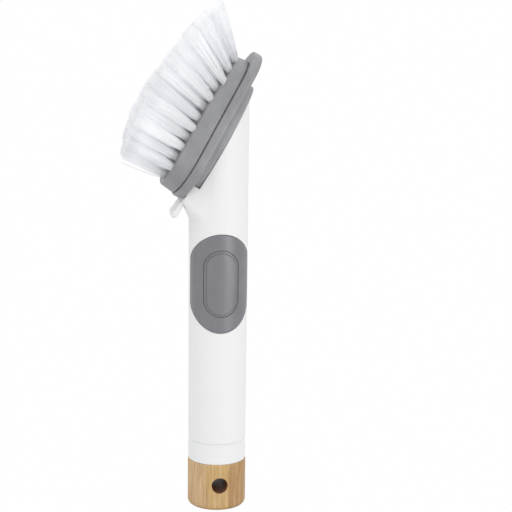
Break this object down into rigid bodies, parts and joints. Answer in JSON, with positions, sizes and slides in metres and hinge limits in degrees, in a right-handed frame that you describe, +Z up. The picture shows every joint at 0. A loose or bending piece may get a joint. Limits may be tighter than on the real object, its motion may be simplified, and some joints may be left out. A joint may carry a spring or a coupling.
{
  "type": "dish wand",
  "caption": "Soap-dispensing dish wand: hollow handle with a squeeze button, slanted slide-off brush head with a release tab, and a screw cap with a hang hole.",
  "frame": {"origin": "centre of the flat base under the bamboo cap, on the handle's axis", "axes": "+Z up the handle towards the brush head, -Y out of the squeeze button, -X on the side that the bristles lean over"},
  "size_m": [0.0749, 0.044, 0.2759],
  "materials": {
    "white_plastic": "smooth white moulding with a soft sheen",
    "grey_soft_touch": "matte grey soft-touch rubber",
    "grey_plastic": "satin grey moulding",
    "bristle_nylon": "bluish white nylon filament",
    "bamboo": "sanded and oiled laminated bamboo",
    "silicone": "translucent milky silicone"
  },
  "bodies": {
    "handle": {"barrel": "white_plastic", "nozzle_plate": "white_plastic", "outlet_valve": "silicone", "delivery_tube": "silicone", "pump_chamber": "white_plastic", "inlet_valve": "silicone", "button_skin": "grey_soft_touch"},
    "button": {"button_pad": "grey_soft_touch", "pad_plunger": "white_plastic"},
    "tongue": {"release_tongue": "white_plastic"},
    "head": {"mount_shoe": "grey_plastic", "head_carrier": "grey_plastic", "brush_block": "grey_plastic", "soap_port": "grey_plastic", "head_valve": "silicone", "tufts_heel": "bristle_nylon", "tufts_rear": "bristle_nylon", "tufts_front": "bristle_nylon", "tufts_toe": "bristle_nylon"},
    "cap_seal": {"cap_gasket": "silicone"},
    "cap": {"cap_collar": "white_plastic", "bamboo_end": "bamboo"}
  },
  "joints": [
    {"name": "button_press", "type": "slide", "parent": "handle", "child": "button", "axis": [0, 1, 0], "range_m": [0, 0.0025], "stiffness_N_per_m": 2400},
    {"name": "tongue_press", "type": "hinge", "parent": "handle", "child": "tongue", "pos_m": [-0.01246, 0, 0.18129], "axis": [0, -1, 0], "range_deg": [0, 6.5], "stiffness_Nm_per_rad": 1.2},
    {"name": "head_slide", "type": "slide", "parent": "handle", "child": "head", "axis": [0.4992, 0, 0.8665], "range_m": [0, 0.012], "deforming": ["release_tongue"]},
    {"name": "cap_travel", "type": "slide", "parent": "handle", "child": "cap_seal", "axis": [0, 0, -1], "range_m": [0, 0.009]},
    {"name": "cap_turn", "type": "hinge", "parent": "cap_seal", "child": "cap", "pos_m": [0, 0, 0.03], "axis": [0, 0, -1], "range_deg": [0, 1081]}
  ],
  "couplings": [
    {"joint": "cap_turn", "follows": "cap_travel", "rad_per_m": 2094.4}
  ]
}
